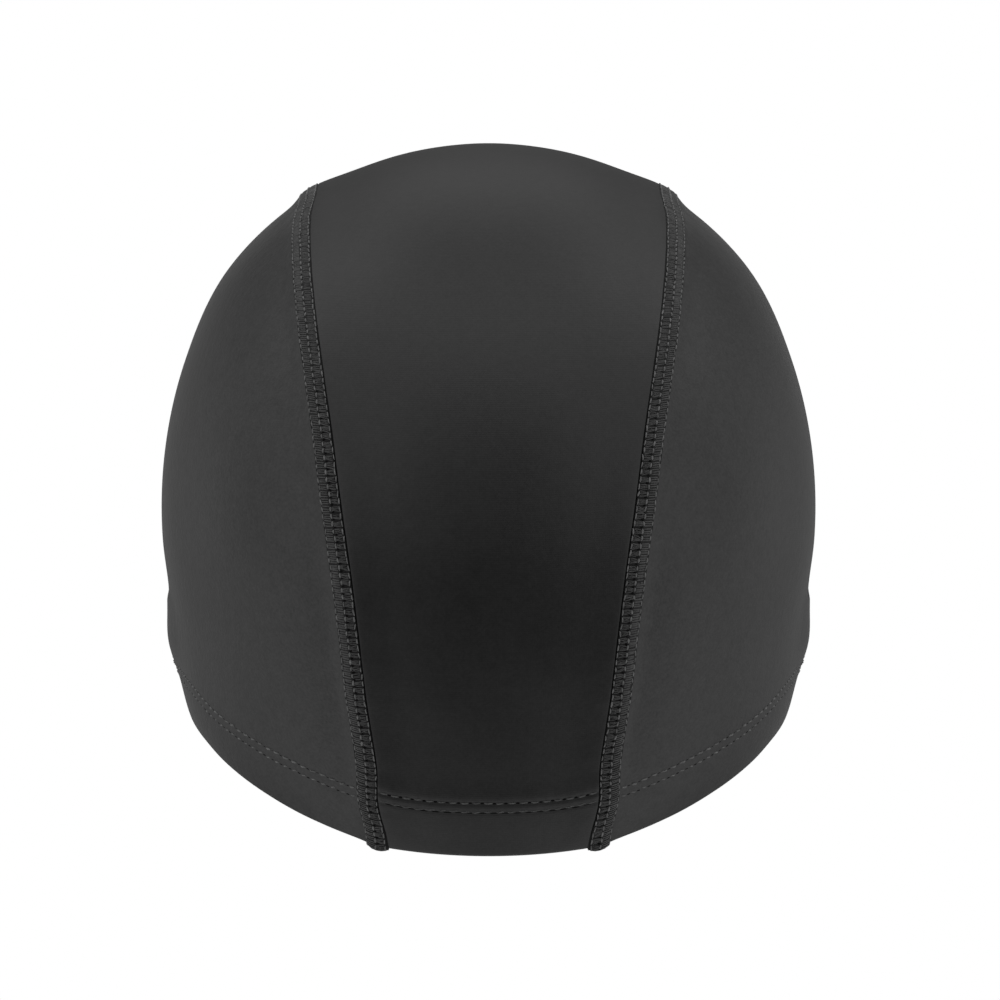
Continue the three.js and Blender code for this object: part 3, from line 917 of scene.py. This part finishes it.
def needle_lines(add, start):
    """Beads along the seam's three rows of stitches."""
    count = len(start)
    part, lift = stitch_parts(7, 0.6)
    for seed, line in enumerate(NEEDLE.values()):
        sway = 0.06 * waves(start, (9, 23), 40 + seed) + uneven(count, 0.045)
        slant = uneven(count, 0.06) * (part - 0.5) * 2
        stretch = line.length * uneven(count, 0.09, 1)
        s = start + (SEAM_PITCH - stretch) / 2 + part * stretch
        radius = line.radius * uneven(count, 0.12, 1)
        height = line.proud - 0.16 * (1 - lift) + uneven(count, 0.025)
        add(s, line.across + sway + slant, height, radius * (0.6 + 0.4 * lift), NEEDLE_SLOT, 6)


def fans(add, start):
    """Strands that spread out towards the centre panel, and dark strands of painted shade in the openings
    between two fans.
    """
    count = len(start)
    part, lift = stitch_parts(6, 0.7)
    across = between(FAN.start, FAN.end, part)
    closed = eased(start, *FANS_CLOSE)
    opening = RANDOM.uniform(*FAN.opening, (count, 1))
    opening = between(opening, 1, closed)
    apex = uneven(count, 0.18) * (1 - closed)
    for spread in FAN.spread:
        jitter = uneven(count, 0.06)
        fanned = spread * between(opening, 1, part**0.6)
        wander = 0.07 * np.sin(pi * part) * uneven(count, 1)
        slant = -0.6 * eased(start, *STRANDS_SLANT) * part
        s = start + SEAM_PITCH / 2 + jitter + apex * (1 - part) + fanned + wander + slant
        height = -0.06 + 0.09 * lift - 0.07 * closed + uneven(count, 0.03)
        radius = (FAN.radius + 0.06 * closed) * uneven(count, 0.15, 1)
        add(s, across, height, radius, FAN_SLOT)
    crossing = RANDOM.choice([-1.0, 1.0], (count, 1)) * SEAM_PITCH * 0.6
    s = start + SEAM_PITCH / 2 + crossing * (part - 0.5)
    height = 0.02 + 0.06 * lift - 0.12 * closed + uneven(count, 0.02)
    add(s, across, height, 0.07 * uneven(count, 0.2, 1), FAN_SLOT)
    # Painted shade: dark flat strands where the seam opens between two fans
    across = between(OPENING_SHADE.start, OPENING_SHADE.end, part)
    s = start + uneven(count, 0.07) + 0.1 * part
    radius = OPENING_SHADE.radius * uneven(count, 0.2, 1) * (0.35 + 0.65 * lift) * (1 - 0.7 * closed)
    add(s, across, OPENING_SHADE.proud - 0.14 * closed, radius, SHADE_MARK_SLOT, 5, OPENING_SHADE.flat)


def rungs(add, start):
    """Flat strands from the middle row of stitches to the side panel, paler near the nape."""
    count = len(start)
    part, lift = stitch_parts(6, 0.7)
    across = np.repeat(between(RUNG.start, RUNG.end, part), count, 0)
    pale = RANDOM.random(count) < 1 - eased(start[:, 0], *RUNGS_DARKEN)
    for spread in RUNG.spread:
        jitter = uneven(count, 0.04)
        slant = 0.08 + 0.75 * eased(start, *STRANDS_SLANT) + uneven(count, 0.08)
        s = start + SEAM_PITCH / 2 + jitter + spread + slant * part
        narrow = 0.85 * eased(s, *RUNGS_NARROW) * (1 - eased(s, *RUNGS_WIDEN_AGAIN))
        wide = eased(s, *RUNGS_WIDEN) * (1 - narrow)
        height = -0.03 + 0.06 * lift - 0.05 * wide + uneven(count, 0.02)
        radius = RUNG.radius + 0.09 * wide
        flat = 1 - 0.5 * wide
        for chosen, slot in ((pale, PALE_SLOT), (~pale, RUNG_SLOT)):
            add(s[chosen], across[chosen], height[chosen], radius[chosen], slot, 5, flat[chosen])


def looper_lines(surface, start):
    """Threads inside the cap that cross the flange to and fro."""
    part = stitch_parts(4, 1)[0]
    lines = NEEDLE["inner"].across, NEEDLE["outer"].across
    groups = []
    for shift, (first, last) in zip(LOOPER.shifts, (lines, lines[::-1])):
        s = np.clip(start + SEAM_PITCH * (shift + 0.5 * part), 0.5, surface.length - 0.5)
        from_end = surface.from_end(s)
        level = -under_depth(from_end) - FLANGE - LOOPER.below
        keep = from_end.min(axis=1) > LOOPER.end
        points, normals = surface.place(s[keep], between(first, last, part), level[keep])
        groups.append(strands(points, -normals, LOOPER.radius, FAN_SLOT, 5))
    return groups


def seam_threads(surface, name, materials, mirror):
    count = int((surface.length - 2 * FIRST_STITCH) / SEAM_PITCH)
    start = FIRST_STITCH + np.arange(count)[:, None] * SEAM_PITCH
    start = start + uneven(count, 0.05)
    groups = []

    def add(s, across, height, radius, slot, sides=5, flat=1.0):
        level = between(SEAM_MIDDLE, height, end_nose(surface.from_end(s)))
        points, normals = surface.place(s, across, level)
        groups.append(strands(points, normals, radius, slot, sides, flat))

    needle_lines(add, start)
    fans(add, start)
    rungs(add, start)
    groups += looper_lines(surface, start)
    return thread_piece(name, groups, materials, mirror)


def row_path(values, above, target):
    """Where each column of a grid passes a height above the lower edge."""
    columns = values.shape[1]
    result = np.zeros((columns, 3))
    for c in range(columns):
        heights = above[:, c]
        stop = int(np.argmax(heights > target[c])) + 2
        for k in range(3):
            result[c, k] = np.interp(target[c], heights[:stop], values[:stop, c, k])
    return result


def hem_path(panel, below, which, front=False):
    """A line below the upper stitches, outside or inside the cloth, and the outward directions on it."""
    order = slice(None, None, -1 if front else 1)
    above = panel["from_last_row" if front else "from_first_row"][order]
    target = panel["depth"] - below
    path = row_path(panel[which][order], above, target)
    return path, unit(row_path(panel["normals"][order], above, target))


def inside_loops(on, normals, lines, start, pitch):
    """Inside the hem: loops that cross between the two rows of stitches, and a thread along each row."""
    part, lift = stitch_parts(7, 0.6)
    groups = []
    for shift, (first, second) in ((0.0, lines), (0.5, lines[::-1])):
        s = start + pitch * (shift + 0.5 * part)
        out = -unit(on(normals, s))
        points = on(first, s) * (1 - part[..., None]) + on(second, s) * part[..., None]
        groups.append(strands(points + out * 0.12, out, INSIDE_RADIUS.loops, FAN_SLOT, 5))
    for line in lines:
        s = start + pitch * (0.04 + 0.92 * part)
        out = -unit(on(normals, s))
        points = on(line, s) + out * (0.02 + 0.12 * lift)[..., None]
        groups.append(strands(points, out, INSIDE_RADIUS.rows, FAN_SLOT, 5))
    return groups


def hem_stitches(path, normals, kind, inside_lines):
    """One row of stitches along the hem, dark marks of painted shade at the needle holes between them, and
    the loops inside.
    """
    size = STITCHES[kind]
    arc = run_lengths(path)
    count = int(round(arc[-1] / HEM_PITCH))
    pitch = arc[-1] / count
    start = np.arange(count)[:, None] * pitch

    def on(line, s):
        return np.stack([np.interp(s, arc, line[:, k]) for k in range(3)], -1)

    def beside_row(s, aside, height, radius, slot, flat=1.0):
        out = unit(on(normals, s))
        ahead = unit(on(path, s + 0.2) - on(path, s - 0.2))
        downward = np.cross(out, ahead)
        downward = downward * np.where(downward[..., 2:] > 0, -1, 1)
        points = on(path, s) + out * height[..., None] + downward * aside[..., None]
        return strands(points, out, radius, slot, 6, flat)

    part, lift = stitch_parts(8, 0.6)
    stretch = size.length * uneven(count, 0.08, 1)
    s = start + (pitch - stretch) / 2 + part * stretch + uneven(count, 0.05)
    aside = size.sway * uneven(count, 1) + size.sway * np.sin(2 * pi * part)
    radius = size.radius * uneven(count, 0.12, 1) * (0.55 + 0.45 * lift)
    slot = HEM_SLOT if "side" in kind else PALE_SLOT
    groups = [beside_row(s, aside, size.proud - 0.12 * (1 - lift), radius, slot)]
    # Needle holes: flat dark marks of painted shade between the stitches
    part, swell = stitch_parts(7, 0.5)
    s = start[1:] - size.hole_length / 2 + part * size.hole_length + uneven(count - 1, 0.04)
    radius = size.hole_radius * uneven(count - 1, 0.15, 1) * (0.4 + 0.6 * swell)
    aside = size.hole_below + 0.03 * uneven(count - 1, 1) + 0 * part
    groups.append(beside_row(s, aside, np.full(s.shape, SHADE_MARK_PROUD), radius, SHADE_MARK_SLOT, SHADE_MARK_FLAT))
    if inside_lines:
        groups += inside_loops(on, normals, inside_lines, start, pitch)
    return groups


def hem_threads(panel, kind, front=False):
    """Both rows of stitches along one hem of a panel, with their loops inside."""
    rows = {"upper": 0, "lower": ROW_APART}
    inside = [hem_path(panel, below, "inside", front)[0] for below in rows.values()]
    groups = []
    for row, below in rows.items():
        path, normals = hem_path(panel, below, "points", front)
        groups += hem_stitches(path, normals, f"{kind}_{row}", inside if row == "upper" else None)
    return groups


cloths = [cloth_material(name, look) for name, look in CLOTH_LOOKS.items()]
centre_cloth_tone_and_shade, side_cloth, inside_cloth_tone_and_light, edge_cloth_painted_shade, fold_cloth_painted_shade = cloths
threads = [thread_material(name, look) for name, look in THREAD_LOOKS.items()]

centre = centre_panel()
side = side_panel()
nape_end, front_end = (end[0] for end in rim_turns(seam_offset, 1))
seam_surface = Surface(nape_end - END_TURN, front_end + END_TURN)

pieces = {}
# The centre panel's outside cloth is darker partly as painted shade
pieces["centre"] = panel_piece("centre_panel_cloth", centre, [centre_cloth_tone_and_shade, inside_cloth_tone_and_light], False)
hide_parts("centre_panel")
for word, mirror in (("left", False), ("right", True)):
    panel = panel_piece(f"side_panel_{word}_cloth", side, [side_cloth, inside_cloth_tone_and_light], not mirror)
    band = seam_band(seam_surface, f"seam_{word}_band", [edge_cloth_painted_shade, fold_cloth_painted_shade], mirror)
    sewn = seam_threads(seam_surface, f"seam_{word}_threads", threads, mirror)
    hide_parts(f"side_panel_{word}")
    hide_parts(f"seam_{word}")
    pieces[f"side_{word}"] = panel
    pieces[f"band_{word}"] = band
    pieces[f"threads_{word}"] = sewn

centre_groups = hem_threads(centre, "centre") + hem_threads(centre, "centre", front=True)
pieces["hem_centre"] = thread_piece("centre_hem_threads", centre_groups, threads)
side_groups = hem_threads(side, "side")
for word, mirror in (("left", False), ("right", True)):
    pieces[f"hem_{word}"] = thread_piece(f"side_{word}_hem_threads", side_groups, threads, mirror)

for piece in pieces.values():
    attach(piece, BODY)
    word = "cloth" if "cloth" in piece.name else "seam_thread"

# Floor
floor_paint = bpy.data.materials.new("floor_paint")
floor_graph = Graph(floor_paint)
floor_graph.feed(floor_graph.nodes["Principled BSDF"], {
    "Base Color": (FLOOR.grey, FLOOR.grey, FLOOR.grey, 1),
    "Roughness": FLOOR.rough,
    "Emission Strength": FLOOR.glow,
})
corners = np.arange(FLOOR.corners)
angles = 2 * pi * corners / FLOOR.corners
edge = FLOOR.radius * np.stack([np.cos(angles), np.sin(angles), 0 * angles], -1)
floor_points = np.concatenate([np.zeros((1, 3)), edge]) + [0, 0, FLOOR.z]
floor_faces = np.stack([0 * corners, 1 + corners, 1 + (corners + 1) % FLOOR.corners], -1).tolist()
floor = mesh_object("floor", floor_points, floor_faces, [0] * FLOOR.corners, [floor_paint], False)
floor.visible_diffuse = False
floor.visible_glossy = False
floor.visible_shadow = False

# World light: white where the camera looks at it, and bright and dark parts for the cloth
world = bpy.data.worlds.new("studio")
bpy.context.scene.world = world
graph = Graph(world)
graph.nodes.clear()
direction = graph.nodes.new("ShaderNodeTexCoord").outputs["Generated"]
parts = graph.add("ShaderNodeSeparateXYZ", {0: direction}).outputs
both_sides = graph.math("ABSOLUTE", parts["X"])
total = ROOM_GLOW
for azimuth, elevation, strength in LIGHTS.values():
    azimuth, elevation = radians(azimuth), radians(elevation)
    facing = graph.weighted(
        (both_sides, sin(azimuth) * cos(elevation)),
        (parts["Y"], cos(azimuth) * cos(elevation)),
        (parts["Z"], sin(elevation)),
    )
    glow = graph.math("POWER", graph.math("MAXIMUM", facing, 0.0), SOFTNESS)
    total = graph.math("ADD", total, graph.math("MULTIPLY", glow, strength))
studio = graph.add("ShaderNodeBackground", {"Strength": total})
white = graph.add("ShaderNodeBackground", {"Color": (1, 1, 1, 1), "Strength": 1.0})
camera_ray = graph.nodes.new("ShaderNodeLightPath").outputs["Is Camera Ray"]
mix = graph.add("ShaderNodeMixShader", {0: camera_ray, 1: studio.outputs[0], 2: white.outputs[0]})
graph.add("ShaderNodeOutputWorld", {"Surface": mix.outputs["Shader"]})

camera_data = bpy.data.cameras.new("camera")
camera = new_object("camera", camera_data)
camera.location = CAMERA.place
camera.rotation_euler = [radians(angle) for angle in CAMERA.degrees]
camera_data.sensor_width = CAMERA.sensor
camera_data.lens = CAMERA.lens
camera_data.clip_end = CAMERA.far
bpy.context.scene.camera = camera
bpy.context.scene.view_settings.view_transform = "Standard"
